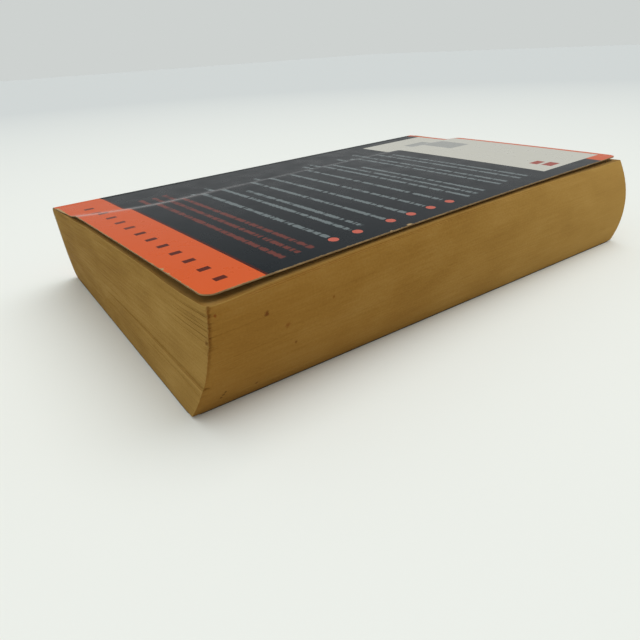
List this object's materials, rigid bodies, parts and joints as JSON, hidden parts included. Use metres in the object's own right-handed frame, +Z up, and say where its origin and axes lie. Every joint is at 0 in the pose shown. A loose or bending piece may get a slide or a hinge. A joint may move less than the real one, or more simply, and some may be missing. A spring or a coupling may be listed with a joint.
{
  "type": "paperback book",
  "caption": "Thick paperback book lying on its front cover: a leaning block of aged pages, a card cover glued round its spine, and front and back covers that open.",
  "frame": {"origin": "on the surface under the middle of the book's bounding box", "axes": "+X from the spine to the fore edge of the top page, +Y along the spine from head to tail, +Z up through the thickness, out of the back cover"},
  "size_m": [0.1259, 0.1854, 0.0326],
  "materials": {
    "page_paper": "uncoated bulky book paper, browned at its cut edges",
    "binding_glue": "hot-melt binding glue, matt and yellowed",
    "spine_card": "printed and varnished cover card, semi-gloss",
    "front_card": "printed and varnished cover card, semi-gloss",
    "back_card": "printed and varnished cover card, semi-gloss, scuffed along its edges"
  },
  "bodies": {
    "block": {"text_block": "page_paper", "spine_adhesive": "binding_glue", "cover_spine": "spine_card"},
    "front_cover": {"front_cover": "front_card"},
    "back_cover": {"back_cover": "back_card"}
  },
  "joints": [
    {"name": "back_hinge", "type": "hinge", "parent": "block", "child": "back_cover", "pos_m": [-0.04612, 0.0002, 0.0308], "axis": [0, -1, 0], "range_deg": [0, 180]},
    {"name": "front_hinge", "type": "hinge", "parent": "block", "child": "front_cover", "pos_m": [-0.05094, 0.00365, -0.00005], "axis": [0.0723, 0.9974, 0], "range_deg": [0, 180]}
  ]
}
